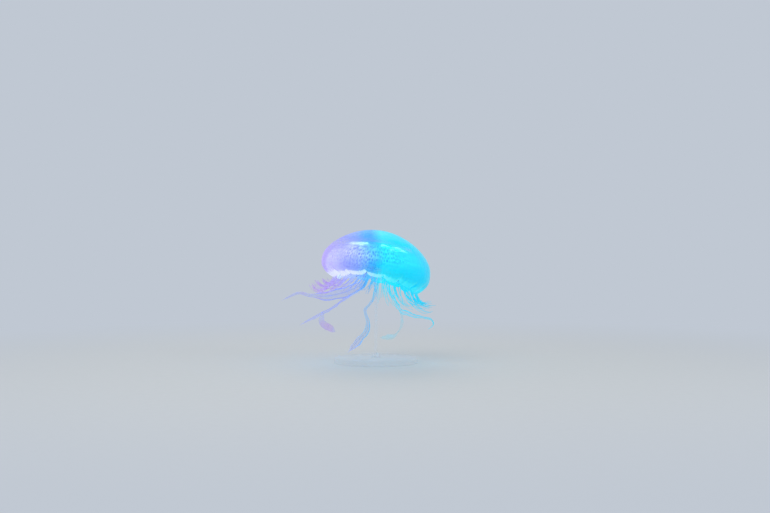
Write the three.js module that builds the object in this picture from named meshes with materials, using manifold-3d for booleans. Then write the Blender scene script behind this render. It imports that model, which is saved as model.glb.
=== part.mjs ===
// A moon jelly at life size, swimming with its bell half closed, held over a flat round base by one rod.
// Millimetres, +Z up. The origin is the centre of the base's underside, and the viewer looks along +Y.
// The bell and all that grows from it are drawn in the bell's own frame, whose +Z is the swimming axis
// and whose origin is the centre of the margin; one group leans that frame over and lifts it.
import * as THREE from "three";
import { mergeVertices } from "three/addons/utils/BufferGeometryUtils.js";
import Module from "manifold-3d";

const wasm = await Module();
wasm.setup();

const { abs, cos, hypot, max, sin, PI } = Math;
const DEGREE = PI / 180;
const GAP = 0.35; // between solids that meet

// The bell's outer face.
const BELL_RADIUS = 125;
const BELL_HEIGHT = 125.5;
const WIDEST_HEIGHT = 38.5;
const SHOULDER_FALL = 0.135; // how much flatter than an ellipse the shoulders fall
const MARGIN_RADIUS = 98;
const TUCK_POWER = 2.5; // how late the wall turns in towards the margin

// Its inner face, under the jelly.
const ROOF_RADIUS = 115;
const ROOF_HEIGHT = 96.5;
const ROOF_WIDEST_HEIGHT = 35.5;
const ROOF_POWER = 0.74;
const MARGIN_WALL = 4;

// How the pulse bends the margin.
const LEAN = 5; // the margin sits this far towards +X of the crown
const LEAN_BAND = 50;
const SADDLE = 15; // front and back of the margin stand this far over the two sides
const TIP = 4.5; // the -X side rises and the +X side drops by this
const NOTCH = 3.5; // depth of the notch between two lappets
const WAVE_BAND = 75;
const MARGIN_CUT = 14; // the lappets start this far over the margin

// How the animal hangs in the water.
const LEAN_RIGHT = 9 * DEGREE;
const LEAN_BACK = 4.5 * DEGREE;
const MARGIN_LEVEL = 176;

// Its fourfold plan.
const GONADS_FROM = 31 * DEGREE;
const ARMS_FROM = 76 * DEGREE;
const QUARTER = PI / 2;
const LAPPETS = 8;
const LAPPET_ANGLE = (2 * PI) / LAPPETS;
const LAPPET_STEPS = 6;

const TENTACLES_PER_LAPPET = 5;
const TENTACLE_ROOT = 3; // diameters
const TENTACLE_TIP = 1;
const TENTACLE_STEPS = 6;
const TENTACLE_FLARE = 0.28;
const TENTACLE_BEND = 1.5;

const GONAD_RADIUS = 50; // from the axis to the middle of a horseshoe
const HORSESHOE_RADIUS = 20;
const HORSESHOE_HALF_ANGLE = 118 * DEGREE;
const GONAD_WIDTH = 8;
const GONAD_DEPTH = 10;

const STALK_TOP_RADIUS = 30;
const STALK_RADIUS = 17;
const MOUTH_LEVEL = 42;

const ARM_SIDES = 8;
const ARM_STEPS = [4, 5, 7]; // upper, middle and tip
const ARM_ROOT_LEVEL = 54;
const ARM_ROOT_RADIUS = 11;

const BASE_RADIUS = 95;
const BASE_THICKNESS = 12;
const BASE_CHAMFER = 2;
const ROD_RADIUS = 3.5;
const ROD_SOCKET = 14; // how far the rod goes up into the stalk
const COLLAR_RADIUS = 10;
const COLLAR_HEIGHT = 9;

const skin = (color, roughness) => new THREE.MeshStandardMaterial({ color, roughness, metalness: 0 });
const JELLY = skin(0x8fc4f2, 0.25);
const MARGIN = skin(0xbfe6fa, 0.35);
const GONAD = skin(0xe9e2fb, 0.45);
const STALK = skin(0xb7b8f2, 0.4);
const ARM = skin(0xb9a8f0, 0.4);
const SENSE_ORGAN = skin(0x8a6a5c, 0.5);
const ACRYLIC = skin(0xdfe9ee, 0.08);

// Solids and back.

function solid(geometry) {
  const bare = geometry.clone();
  bare.deleteAttribute("normal");
  bare.deleteAttribute("uv");
  const merged = mergeVertices(bare, 1e-3);
  return new wasm.Manifold(
    new wasm.Mesh({
      numProp: 3,
      vertProperties: merged.getAttribute("position").array,
      triVerts: new Uint32Array(merged.index.array),
    }),
  );
}

function geometryOf(made) {
  const mesh = made.getMesh();
  return new THREE.BufferGeometry()
    .setAttribute("position", new THREE.BufferAttribute(new Float32Array(mesh.vertProperties), 3))
    .setIndex(new THREE.BufferAttribute(new Uint32Array(mesh.triVerts), 1));
}

function named(name, made, material) {
  const geometry = made.isBufferGeometry ? made : geometryOf(made);
  geometry.computeVertexNormals();
  const mesh = new THREE.Mesh(geometry, material);
  mesh.name = name;
  return mesh;
}

// Moves each vertex of a geometry to where place(x, y, z) says.
function remap(geometry, place) {
  const at = geometry.getAttribute("position");
  for (let i = 0; i < at.count; i++) {
    const p = place(at.getX(i), at.getY(i), at.getZ(i));
    at.setXYZ(i, p.x, p.y, p.z);
  }
  return geometry;
}

// Between the values of a short table of [place, value], eased from one to the next.
function keyed(place, keys) {
  let k = 0;
  while (k < keys.length - 2 && place > keys[k + 1][0]) k++;
  const [[a, before], [b, after]] = [keys[k], keys[k + 1]];
  return before + (after - before) * THREE.MathUtils.smoothstep(place, a, b);
}

// A closed solid along a curve, from one share of its length to another. Its section is an oval,
// width(t) across along the direction wide(t) and thick(t) the other way.
function sweep(curve, from, to, { sides, steps, width, thick, wide }) {
  return remap(new THREE.CylinderGeometry(1, 1, 1, sides, steps), (x, y, z) => {
    const t = from + (to - from) * (0.5 - y);
    const along = curve.getTangentAt(t);
    const across = wide(t).clone().addScaledVector(along, -wide(t).dot(along)).normalize();
    const normal = new THREE.Vector3().crossVectors(along, across);
    return curve
      .getPointAt(t)
      .addScaledVector(across, (x * width(t)) / 2)
      .addScaledVector(normal, (z * thick(t)) / 2);
  });
}

const steps = (from, to, count) =>
  Array.from({ length: count + 1 }, (_, i) => from + ((to - from) * i) / count);

// The bell's two faces, each as radius and height. Turn 0 is the top, 1 the widest ring and 2 the margin.

function outerFace(turn) {
  if (turn > 1) {
    const fall = turn - 1;
    return [BELL_RADIUS - (BELL_RADIUS - MARGIN_RADIUS) * fall ** TUCK_POWER, WIDEST_HEIGHT * (1 - fall)];
  }
  const a = (turn * PI) / 2;
  return [
    BELL_RADIUS * sin(a) * (1 - SHOULDER_FALL * cos(a) ** 2),
    WIDEST_HEIGHT + (BELL_HEIGHT - WIDEST_HEIGHT) * cos(a),
  ];
}

function innerFace(turn) {
  if (turn > 1) {
    const fall = turn - 1;
    const reach = ROOF_RADIUS - (MARGIN_RADIUS - MARGIN_WALL);
    return [ROOF_RADIUS - reach * fall ** TUCK_POWER, ROOF_WIDEST_HEIGHT * (1 - fall)];
  }
  const a = (turn * PI) / 2;
  return [
    ROOF_RADIUS * sin(a) ** ROOF_POWER,
    ROOF_WIDEST_HEIGHT + (ROOF_HEIGHT - ROOF_WIDEST_HEIGHT) * cos(a),
  ];
}

// The roof from the axis out, as the dome is faceted, and its height at a radius.
const ROOF = steps(0, 1, 6).map(innerFace);

function roofAt(radius) {
  const k = ROOF.findIndex(([r]) => r >= radius);
  if (k < 1) return ROOF[0][1];
  const [[r0, z0], [r1, z1]] = [ROOF[k - 1], ROOF[k]];
  return z0 + ((z1 - z0) * (radius - r0)) / (r1 - r0);
}

// How far the pulse lifts the margin at an angle round the axis.
function marginLift(angle) {
  const fromNotch = abs(sin((LAPPETS / 2) * (angle - GONADS_FROM)));
  return SADDLE * sin(angle) ** 2 - TIP * cos(angle) + NOTCH * (1 - fromNotch) ** 2;
}

// A point of the bell, from its plain cylindrical place to where the pulse bends it.
function bellPoint(angle, radius, height) {
  const lean = LEAN * max(0, 1 - height / LEAN_BAND) ** 2;
  const lift = marginLift(angle) * max(0, 1 - height / WAVE_BAND) ** 2;
  return new THREE.Vector3(radius * cos(angle) + lean, radius * sin(angle), height + lift);
}

// The bell's frame in the model's.
const bellFrame = new THREE.Group();
bellFrame.rotation.set(-LEAN_BACK, LEAN_RIGHT, 0, "YXZ");
const mouth = new THREE.Vector3(0, 0, MOUTH_LEVEL).applyEuler(bellFrame.rotation);
bellFrame.position.set(-mouth.x, -mouth.y, MARGIN_LEVEL);
bellFrame.updateMatrixWorld();
const intoBell = bellFrame.matrixWorld.clone().invert();
const inBell = (x, y, z) => new THREE.Vector3(x, y, z).transformDirection(intoBell);

// Bell crown.

function bellDome() {
  const outerEnd = 2 - MARGIN_CUT / WIDEST_HEIGHT;
  const innerEnd = 2 - MARGIN_CUT / ROOF_WIDEST_HEIGHT;
  const outside = [...steps(0, 1, 7), ...steps(1, outerEnd, 2).slice(1)].map(outerFace);
  const inside = [...ROOF, ...steps(1, innerEnd, 2).slice(1).map(innerFace)];
  const profile = [...inside, ...outside.reverse()].map(([r, z]) => new THREE.Vector2(r, z));
  const lathed = new THREE.LatheGeometry(profile, LAPPETS * LAPPET_STEPS, GONADS_FROM);
  return remap(lathed, (x, y, z) => bellPoint(Math.atan2(x, z), hypot(x, z), y));
}

// Margin: one lappet between two notches, with its tentacles.

function lappetPlate(first) {
  const top = MARGIN_CUT - 2 * GAP;
  const outside = steps(2 - top / WIDEST_HEIGHT, 2, 2).map(outerFace);
  const inside = steps(2 - top / ROOF_WIDEST_HEIGHT, 2, 2).map(innerFace);
  const corners = [...inside.reverse(), ...outside].map(([r, z]) => new THREE.Vector2(r, z));
  const section = new THREE.Shape(corners);
  const slit = GAP / MARGIN_RADIUS;
  const plate = new THREE.ExtrudeGeometry(section, { depth: 1, steps: LAPPET_STEPS, bevelEnabled: false });
  const arc = LAPPET_ANGLE - slit;
  return remap(plate, (r, z, share) => bellPoint(first + slit / 2 + arc * (1 - share), r, z));
}

// How the tentacles hang round the margin, by how far to the side they grow: -1 is -X and 1 is +X.
// Each row is side, length, and slant from straight down at the root and at the tip, in degrees
// towards +X. The left ones trail off and curl up, and the right ones sweep out.
const HANG = [
  [-1, 72, -15, -165],
  [-0.62, 84, -32, -140],
  [-0.42, 50, -38, -52],
  [-0.15, 43, -30, -26],
  [0.1, 58, -8, 6],
  [0.3, 70, 0, 28],
  [0.6, 82, 0, 88],
  [1, 66, 12, 104],
];
const BACK_SHARE = 0.72; // tentacles at the back are this much of that length

function tentacleRoute(angle) {
  const hang = (column) => keyed(cos(angle), HANG.map((row) => [row[0], row[column]]));
  const length = hang(1) * (1 - (1 - BACK_SHARE) * max(0, sin(angle)));
  const root = hang(2);
  const tip = hang(3);
  const wall = MARGIN_WALL / 2;
  const points = [bellPoint(angle, MARGIN_RADIUS - wall, wall), bellPoint(angle, MARGIN_RADIUS - wall, 0)];
  for (let i = 0; i < TENTACLE_STEPS; i++) {
    const slant = (root + (tip - root) * ((i + 0.5) / TENTACLE_STEPS) ** TENTACLE_BEND) * DEGREE;
    const way = inBell(sin(slant), TENTACLE_FLARE * sin(angle), -cos(slant));
    points.push(points.at(-1).clone().addScaledVector(way, length / TENTACLE_STEPS));
  }
  return new THREE.CatmullRomCurve3(points);
}

function tentacle(angle) {
  const girth = (t) => TENTACLE_ROOT + (TENTACLE_TIP - TENTACLE_ROOT) * t;
  return sweep(tentacleRoute(angle), 0, 1, {
    sides: 4,
    steps: TENTACLE_STEPS,
    width: girth,
    thick: girth,
    wide: () => inBell(0, 1, 0),
  });
}

function lappet(k) {
  const first = GONADS_FROM + k * LAPPET_ANGLE;
  let made = solid(lappetPlate(first));
  for (let i = 0; i < TENTACLES_PER_LAPPET; i++) {
    made = made.add(solid(tentacle(first + ((i + 0.5) / TENTACLES_PER_LAPPET) * LAPPET_ANGLE)));
  }
  return made;
}

// A sense organ hangs in the notch between two lappets.
function rhopalium(k) {
  const angle = GONADS_FROM + k * LAPPET_ANGLE;
  const radius = 1.5;
  const reach = 3;
  const at = bellPoint(angle, MARGIN_RADIUS - MARGIN_WALL / 2, 0);
  const drop = reach / 2 + radius + 2 * GAP;
  return new THREE.CapsuleGeometry(radius, reach, 2, 6).rotateX(PI / 2).translate(at.x, at.y, at.z - drop);
}

// A gonad is a horseshoe fold under the roof, open towards the axis.
function gonad(k) {
  const outward = GONADS_FROM + k * QUARTER;
  const route = steps(-HORSESHOE_HALF_ANGLE, HORSESHOE_HALF_ANGLE, 10).map((turn) => {
    const x = GONAD_RADIUS * cos(outward) + HORSESHOE_RADIUS * cos(outward + turn);
    const y = GONAD_RADIUS * sin(outward) + HORSESHOE_RADIUS * sin(outward + turn);
    const outerEdge = hypot(x, y) + GONAD_WIDTH / 4;
    return new THREE.Vector3(x, y, roofAt(outerEdge) - GONAD_DEPTH / 2 - 2 * GAP);
  });
  const taper = (t) => 0.55 + 0.45 * sin(PI * t) ** 0.6;
  return sweep(new THREE.CatmullRomCurve3(route), 0, 1, {
    sides: 8,
    steps: 10,
    width: (t) => GONAD_WIDTH * taper(t),
    thick: (t) => GONAD_DEPTH * taper(t),
    wide: (t) => new THREE.Vector3(route.at(-1).x - route[0].x, route.at(-1).y - route[0].y, 0)
      .normalize()
      .applyAxisAngle(new THREE.Vector3(0, 0, 1), (t - 0.5) * 2 * HORSESHOE_HALF_ANGLE - QUARTER),
  });
}

// Oral arms. Each leaves the mouth at its own quarter and follows a hand-set course through the water,
// given from near the mouth to the tip. Widths are at even shares of that course.

const ARMS = [
  {
    name: "oral_arm_back",
    course: [
      [-26.6, 17, 178],
      [-49.3, 24, 158],
      [-72, 27, 144.5],
      [-103.9, 26, 121.7],
      [-138, 21, 104],
      [-174.3, 14, 84.2],
    ],
    widths: [8, 11, 10, 10, 9, 3],
    thickness: 5,
    wide: [[0.15, 1, 0.2], [0.2, 0.5, 0.8]],
  },
  {
    name: "oral_arm_left",
    course: [
      [-31.1, 2, 180.8],
      [-58.4, -2, 165],
      [-85.7, -5, 156],
      [-115.2, -8, 151.5],
      [-147, -10, 153],
      [-169.8, -11, 158.4],
      [-188, -12, 154],
      [-215.2, -14, 140.5],
    ],
    widths: [8, 15, 21, 25, 20, 7, 5, 2.4],
    thickness: 4,
    wide: [[0.1, 0.1, 1], [0.1, 0.1, 1]],
  },
  {
    name: "oral_arm_front",
    course: [
      [-3.9, -19, 155.8],
      [-14, -24, 134],
      [-24.8, -26, 120.6],
      [-18.5, -27, 96.7],
      [-21.5, -28, 73],
      [-36.8, -28, 56],
      [-63, -27, 25],
    ],
    widths: [8, 6, 5, 5, 6, 12, 17, 6],
    thickness: 4,
    wide: [[0.95, 0.3, 0.2], [0.95, 0.3, 0.2]],
  },
  {
    name: "oral_arm_right",
    course: [
      [21.1, -4, 178.5],
      [38.9, -5, 146.7],
      [53.6, -6, 120.3],
      [70, -6, 111],
      [88.9, -6, 105],
      [111, -6, 101.4],
      [126, -7, 97],
      [129.5, -8, 86],
      [118.4, -9, 76.3],
    ],
    widths: [8, 7, 6, 7, 10, 14, 8, 5, 3],
    thickness: 4,
    wide: [[0.2, 0.25, 1], [0.3, 1, 0.35]],
  },
];
const ARM_SPLITS = [0, 0.34, 0.67, 1];
const ARM_LENGTHS = ["upper", "middle", "tip"];

function armRoute(arm, k) {
  const angle = ARMS_FROM + k * QUARTER;
  const across = ARM_ROOT_RADIUS * cos(angle);
  const deep = ARM_ROOT_RADIUS * sin(angle);
  const root = new THREE.Vector3(across, deep, ARM_ROOT_LEVEL).applyMatrix4(bellFrame.matrixWorld);
  const course = arm.course.map((p) => new THREE.Vector3(...p));
  return new THREE.CatmullRomCurve3([root, ...course]);
}

function armLength(arm, route, from, to, steps, swell = 0) {
  const places = arm.widths.map((w, i) => [i / (arm.widths.length - 1), w]);
  return sweep(route, from, to, {
    sides: ARM_SIDES,
    steps,
    width: (t) => keyed(t, places) + swell,
    thick: (t) => arm.thickness * (1 - 0.6 * t) + swell,
    wide: (t) => new THREE.Vector3(...arm.wide[0]).lerp(new THREE.Vector3(...arm.wide[1]), t),
  });
}

// A frilled lip that has come loose along one edge of an arm, from a share of the arm's length, and
// trails by itself. Its root is let into the arm.
const LIPS = [
  {
    name: "oral_arm_back_lip",
    arm: 0,
    from: 0.8,
    course: [[-125, 17, 94], [-116, 16, 83], [-104, 15, 75], [-92, 14, 68.5]],
    widths: [5, 12, 17, 16, 7],
  },
  {
    name: "oral_arm_right_lip",
    arm: 3,
    from: 0.4,
    course: [[58.5, 2, 104], [58, 7, 89], [52, 12, 72], [36, 17, 59], [8, 20, 55]],
    widths: [5, 8, 9, 13, 14, 5],
  },
];

function lip(piece) {
  const arm = ARMS[piece.arm];
  const along = armRoute(arm, piece.arm);
  const route = new THREE.CatmullRomCurve3([
    along.getPointAt(piece.from),
    ...piece.course.map((p) => new THREE.Vector3(...p)),
  ]);
  const places = piece.widths.map((w, i) => [i / (piece.widths.length - 1), w]);
  const wide = new THREE.Vector3(0.6, 0.35, 0.7);
  const made = sweep(route, 0, 1, {
    sides: ARM_SIDES,
    steps: 8,
    width: (t) => keyed(t, places),
    thick: () => 2.2,
    wide: () => wide,
  });
  const reach = 0.1;
  const socket = armLength(arm, along, piece.from - reach, piece.from + reach, 6, 2 * GAP);
  return solid(made).subtract(solid(socket));
}

// Stalk under the stomach, with the mouth at its lower end. Arms and rod are let into it.
function stalk(letIn) {
  const top = [...ROOF.map(([r]) => r).filter((r) => r < STALK_TOP_RADIUS), STALK_TOP_RADIUS]
    .map((r) => [r, roofAt(r) - GAP]);
  const side = [
    [STALK_TOP_RADIUS - 3, roofAt(STALK_TOP_RADIUS) - 7],
    [STALK_RADIUS + 3, 72],
    [STALK_RADIUS, 60],
    [STALK_RADIUS, MOUTH_LEVEL + 8],
    [STALK_RADIUS - 3, MOUTH_LEVEL + 2],
    [STALK_RADIUS - 7, MOUTH_LEVEL],
    [0, MOUTH_LEVEL],
  ];
  const profile = [...top, ...side].reverse().map(([r, z]) => new THREE.Vector2(r, z));
  const lathed = remap(new THREE.LatheGeometry(profile, 20), (x, y, z) => new THREE.Vector3(z, x, y));
  return letIn.reduce((left, piece) => left.subtract(solid(piece.applyMatrix4(intoBell))), solid(lathed));
}

// Display stand.

// A solid turned about the axis from corners given as radius and height.
function turned(corners, sides) {
  const outline = corners.map((p) => new THREE.Vector2(...p));
  return new THREE.LatheGeometry(outline, sides).rotateX(PI / 2);
}

function standBase() {
  const edge = BASE_THICKNESS - BASE_CHAMFER;
  const rim = BASE_RADIUS - BASE_CHAMFER;
  const foot = [[0, 0], [BASE_RADIUS, 0], [BASE_RADIUS, edge]];
  return turned([...foot, [rim, BASE_THICKNESS], [0, BASE_THICKNESS]], 48);
}

function standCollar() {
  const bore = ROD_RADIUS + GAP;
  const foot = BASE_THICKNESS + GAP;
  const top = foot + COLLAR_HEIGHT;
  const shoulder = [[COLLAR_RADIUS, top - BASE_CHAMFER], [COLLAR_RADIUS - BASE_CHAMFER, top]];
  return turned([[bore, foot], [COLLAR_RADIUS, foot], ...shoulder, [bore, top], [bore, foot]], 20);
}

function standRod(swell = 0) {
  const foot = BASE_THICKNESS + GAP;
  const top = MARGIN_LEVEL + mouth.z + ROD_SOCKET + swell;
  const radius = ROD_RADIUS + swell;
  return turned([[0, foot], [radius, foot], [radius, top], [0, top]], 20);
}

// The model.

const jellyfish = new THREE.Group();
jellyfish.add(bellFrame);

bellFrame.add(named("bell_dome", solid(bellDome()), JELLY));
for (let k = 0; k < LAPPETS; k++) {
  bellFrame.add(named(`bell_lappet_${k + 1}`, lappet(k), MARGIN));
  bellFrame.add(named(`rhopalium_${k + 1}`, rhopalium(k), SENSE_ORGAN));
}
for (let k = 0; k < 4; k++) {
  bellFrame.add(named(`gonad_${k + 1}`, gonad(k), GONAD));
}

const letIn = [standRod(GAP)];
ARMS.forEach((arm, k) => {
  const route = armRoute(arm, k);
  const slit = GAP / route.getLength();
  letIn.push(armLength(arm, route, 0, ARM_SPLITS[1], ARM_STEPS[0], 2 * GAP));
  ARM_LENGTHS.forEach((part, i) => {
    const from = ARM_SPLITS[i] + (i ? slit / 2 : slit);
    const to = ARM_SPLITS[i + 1] - (i < ARM_LENGTHS.length - 1 ? slit / 2 : 0);
    jellyfish.add(named(`${arm.name}_${part}`, armLength(arm, route, from, to, ARM_STEPS[i]), ARM));
  });
});
LIPS.forEach((piece) => jellyfish.add(named(piece.name, lip(piece), ARM)));
bellFrame.add(named("manubrium", stalk(letIn), STALK));

jellyfish.add(named("stand_base", standBase(), ACRYLIC));
jellyfish.add(named("stand_collar", standCollar(), ACRYLIC));
jellyfish.add(named("stand_rod", standRod(), ACRYLIC));

export default jellyfish;
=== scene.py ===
import random
from bisect import bisect_right
from functools import partial
from itertools import accumulate, pairwise
from math import cos, hypot, pi, radians, sin, tau
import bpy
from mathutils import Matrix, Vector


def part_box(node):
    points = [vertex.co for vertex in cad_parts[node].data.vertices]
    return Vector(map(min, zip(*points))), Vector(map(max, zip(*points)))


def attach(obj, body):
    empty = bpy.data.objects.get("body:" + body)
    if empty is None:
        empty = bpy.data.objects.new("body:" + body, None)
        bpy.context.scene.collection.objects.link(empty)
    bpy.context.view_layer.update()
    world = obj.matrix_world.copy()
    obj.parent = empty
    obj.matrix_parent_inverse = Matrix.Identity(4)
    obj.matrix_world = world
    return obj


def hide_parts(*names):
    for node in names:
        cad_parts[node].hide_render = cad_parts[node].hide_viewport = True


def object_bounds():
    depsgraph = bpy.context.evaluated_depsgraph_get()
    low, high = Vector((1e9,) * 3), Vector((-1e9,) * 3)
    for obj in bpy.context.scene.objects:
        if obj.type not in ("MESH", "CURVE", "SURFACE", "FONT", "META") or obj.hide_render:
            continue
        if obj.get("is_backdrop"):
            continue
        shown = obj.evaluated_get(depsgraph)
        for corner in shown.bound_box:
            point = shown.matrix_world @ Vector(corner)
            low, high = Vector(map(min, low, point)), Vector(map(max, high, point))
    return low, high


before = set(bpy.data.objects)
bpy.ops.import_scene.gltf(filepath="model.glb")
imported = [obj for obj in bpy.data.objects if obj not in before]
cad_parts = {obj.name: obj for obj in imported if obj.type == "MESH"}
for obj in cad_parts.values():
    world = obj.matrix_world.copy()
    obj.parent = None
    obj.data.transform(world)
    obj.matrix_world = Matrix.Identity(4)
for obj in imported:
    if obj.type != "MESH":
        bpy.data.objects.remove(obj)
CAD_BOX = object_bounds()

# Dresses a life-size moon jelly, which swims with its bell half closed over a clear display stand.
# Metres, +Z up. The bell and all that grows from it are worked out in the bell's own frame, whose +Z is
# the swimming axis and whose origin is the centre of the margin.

from types import SimpleNamespace

import bmesh
import bpy
from bpy.props import FloatProperty, FloatVectorProperty, IntProperty, PointerProperty
from mathutils import Euler, Vector
from mathutils.geometry import interpolate_bezier

bl_info = {
    "name": "Moon Jelly",
    "version": (1, 0, 0),
    "blender": (4, 5, 0),
    "location": "3D View > Sidebar > Moon Jelly",
    "description": "Dresses a life-size moon jelly on its stand: bell, canals, fringe, organs and arms",
    "category": "Add Mesh",
}

# How the animal hangs in the water, and its plan round the axis.
LEAN_RIGHT = radians(9)
LEAN_BACK = radians(4.5)
MARGIN_LEVEL = 0.176
MOUTH_LEVEL = 0.042
GONADS_FROM = radians(31)
ARMS_FROM = radians(76)
QUARTER = tau / 4
LAPPETS = 8
LAPPET_ANGLE = tau / LAPPETS


# Settings.


def length(name, default, description):
    kind = {"unit": "LENGTH", "min": 0, "precision": 4}
    return FloatProperty(name=name, default=default, description=description, **kind)


def share(name, default, description):
    kind = {"subtype": "FACTOR", "min": 0, "max": 1}
    return FloatProperty(name=name, default=default, description=description, **kind)


def colour(name, red, green, blue, description):
    """A colour given in display values from 0 to 255."""
    shown = [value / 255 for value in (red, green, blue)]
    light = [((c + 0.055) / 1.055) ** 2.4 if c > 0.04 else c / 12.92 for c in shown]
    kind = {"subtype": "COLOR", "min": 0, "max": 1}
    return FloatVectorProperty(name=name, default=light, description=description, **kind)


class BellSettings(bpy.types.PropertyGroup):
    """The bell's size and how its pulse bends it."""

    radius: length("Radius", 0.125, "Of the bell at its widest")
    height: length("Height", 0.1255, "From the margin to the crown")
    widest: length("Widest at", 0.0385, "Height of the widest ring over the margin")
    margin_radius: length("Margin radius", 0.098, "Of the margin, which is drawn in")
    margin_wall: length("Margin wall", 0.004, "Thickness of the bell at its margin")
    roof_radius: length("Roof radius", 0.115, "Of the hollow under the jelly")
    roof_height: length("Roof height", 0.0965, "Of the hollow's roof over the margin")
    roof_widest: length("Roof widest at", 0.0355, "Height of the hollow's widest ring")
    saddle: length("Saddle", 0.015, "How far the front and back of the margin stand over its sides")
    terraces: share("Terraces", 0.9, "How far the margin steps down at each notch instead of sloping")
    notch: length("Notch", 0.0040, "Depth of the notch between two lappets")
    pinch: length("Pinch", 0.0022, "How far the bell is drawn in above each notch")
    scallop: length("Scallop", 0.0060, "Depth of the small notch in the middle of each lappet")
    ripple: length("Ripple", 0.0009, "Unevenness of the skin")


class FringeSettings(bpy.types.PropertyGroup):
    """The tentacles round the margin."""

    count: IntProperty(name="Count", default=84, min=8, description="Bunches of tentacles round the margin")
    bunch: IntProperty(name="Bunch", default=3, min=1, description="Tentacles in one bunch")
    root_width: length("Root width", 0.0020, "Thickness of a tentacle where it leaves the margin")
    tip_width: length("Tip width", 0.0006, "Thickness of a tentacle at its tip")
    wander: length("Wander", 0.0060, "How far a tentacle drifts off its course towards its tip")
    wander_length: length("Wander length", 0.030, "Length of one drift")
    seed: IntProperty(name="Seed", default=11, description="Of what is random in the fringe")


class OrganSettings(bpy.types.PropertyGroup):
    """The organs that show through the bell."""

    canal_width: length("Canal width", 0.0010, "Thickness of a radial canal at the stomach")
    gonad_distance: length("Gonad distance", 0.050, "From the axis to the middle of a gonad")
    horseshoe: length("Horseshoe radius", 0.020, "Of the horseshoe that a gonad bends into")
    gonad_width: length("Gonad width", 0.008, "Of the folded band")
    gonad_depth: length("Gonad depth", 0.007, "Of the folded band, from top to bottom")
    folds: IntProperty(name="Folds", default=17, min=2, description="Folds along one gonad")
    sense_organ: length("Sense organ", 0.0030, "Thickness of a sense organ")


class ArmSettings(bpy.types.PropertyGroup):
    """The mouth's stalk and the arms that hang from it."""

    neck: length("Neck radius", 0.0165, "Of the stalk over the mouth")
    frill: length("Frill", 0.0010, "How far the lips of an arm ruffle to each side")
    frill_length: length("Frill length", 0.027, "Length of one ruffle along a lip")
    lip: length("Lip", 0.0013, "Thickness of an arm at its lips")


class ColourSettings(bpy.types.PropertyGroup):
    """The palette. The run from rose to aqua, and the pairs milk to foam and ink to deep, are painted coloured
    light: lavender light on the -X side and aqua light on the +X side.
    """

    rose: colour("Rose", 188, 161, 240, "Of the far -X side")
    lavender: colour("Lavender", 154, 148, 238, "Of the -X side")
    periwinkle: colour("Periwinkle", 112, 152, 238, "A little to the -X side of the middle")
    blue: colour("Blue", 10, 160, 230, "Of the narrow dark band at the middle")
    cyan: colour("Cyan", 0, 218, 234, "Of the +X side")
    aqua: colour("Aqua", 0, 206, 236, "Of the far +X side")
    milk: colour("Milk", 236, 240, 255, "Of the organs and the rim on the -X side")
    foam: colour("Foam", 70, 240, 252, "Of the organs and the rim on the +X side")
    ink: colour("Ink", 66, 76, 206, "Of the dashes in the lining on the -X side")
    deep: colour("Deep", 0, 136, 210, "Of the dashes in the lining on the +X side")
    # Veil: on the tentacles this pink is painted lavender light on the -X side, and on the arms it colours the stain
    # in their folds.
    veil: colour("Veil", 186, 124, 214, "Of the stain on the arms and tentacles of the -X side")
    floor: colour("Floor", 192, 200, 211, "Of the floor and the backdrop")


class JellySettings(bpy.types.PropertyGroup):
    """All of the jelly's settings."""

    bell: PointerProperty(type=BellSettings, name="Bell", description="The bell")
    fringe: PointerProperty(type=FringeSettings, name="Fringe", description="The tentacles")
    organs: PointerProperty(type=OrganSettings, name="Organs", description="Canals, gonads and sense organs")
    arms: PointerProperty(type=ArmSettings, name="Arms", description="Stalk, mouth and arms")
    colours: PointerProperty(type=ColourSettings, name="Colours", description="The palette")


# Node trees.


def arithmetic(operation, swapped=False):
    """An operator between a term and a number or another term."""

    def operator(term, other):
        values = (other, term) if swapped else (term, other)
        return term.nodes.math(operation, *values)

    return operator


class Term:
    """A socket that arithmetic can be written on. Each step of it adds its Math node."""

    __add__ = __radd__ = arithmetic("ADD")
    __mul__ = __rmul__ = arithmetic("MULTIPLY")
    __sub__, __rsub__ = arithmetic("SUBTRACT"), arithmetic("SUBTRACT", swapped=True)
    __truediv__, __rtruediv__ = arithmetic("DIVIDE"), arithmetic("DIVIDE", swapped=True)
    __pow__ = arithmetic("POWER")

    def __init__(self, nodes, socket):
        self.nodes, self.socket = nodes, socket

    def math(self, operation, *others):
        return self.nodes.math(operation, self, *others)

    def within(self, low, high):
        """The share of the way from low to high, held between 0 and 1."""
        return self.nodes.term("ShaderNodeMapRange", {}, {"Value": self, "From Min": low, "From Max": high})

    def between(self, low, high):
        """0 at low, 1 at high and smooth between. High may be the smaller."""
        if low > high:
            return 1 - self.between(high, low)
        inputs = {"Value": self, "From Min": low, "From Max": high}
        return self.nodes.term("ShaderNodeMapRange", {"interpolation_type": "SMOOTHSTEP"}, inputs)


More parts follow.
